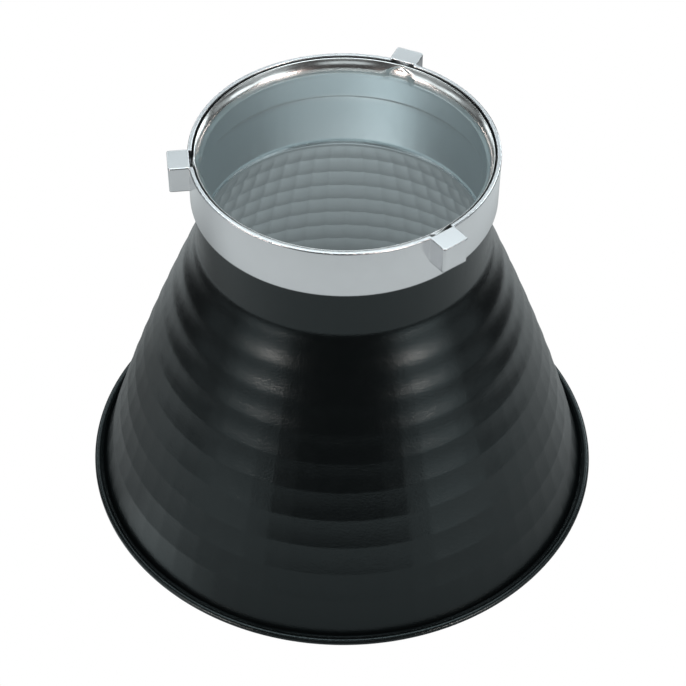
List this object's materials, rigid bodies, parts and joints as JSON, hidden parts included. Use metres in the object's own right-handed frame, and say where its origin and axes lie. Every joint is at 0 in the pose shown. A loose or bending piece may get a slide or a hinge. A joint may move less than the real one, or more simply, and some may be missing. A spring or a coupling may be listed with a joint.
{
  "type": "studio flash reflector",
  "caption": "Faceted bell-shaped metal light reflector with an open neck and a three-lug bayonet mount ring",
  "frame": {"origin": "on the axis, in the plane that the rim rests on", "axes": "+Z along the axis from the open mouth to the mount ring; one bayonet lug points along -X"},
  "size_m": [0.18, 0.18, 0.1398],
  "materials": {
    "shell_sheet": "spun aluminium, satin black powder coat outside, matt silver inside, bright lip",
    "ring_metal": "satin turned metal"
  },
  "bodies": {
    "root": {"reflector_shell": "shell_sheet", "mount_ring": "ring_metal"}
  },
  "joints": []
}
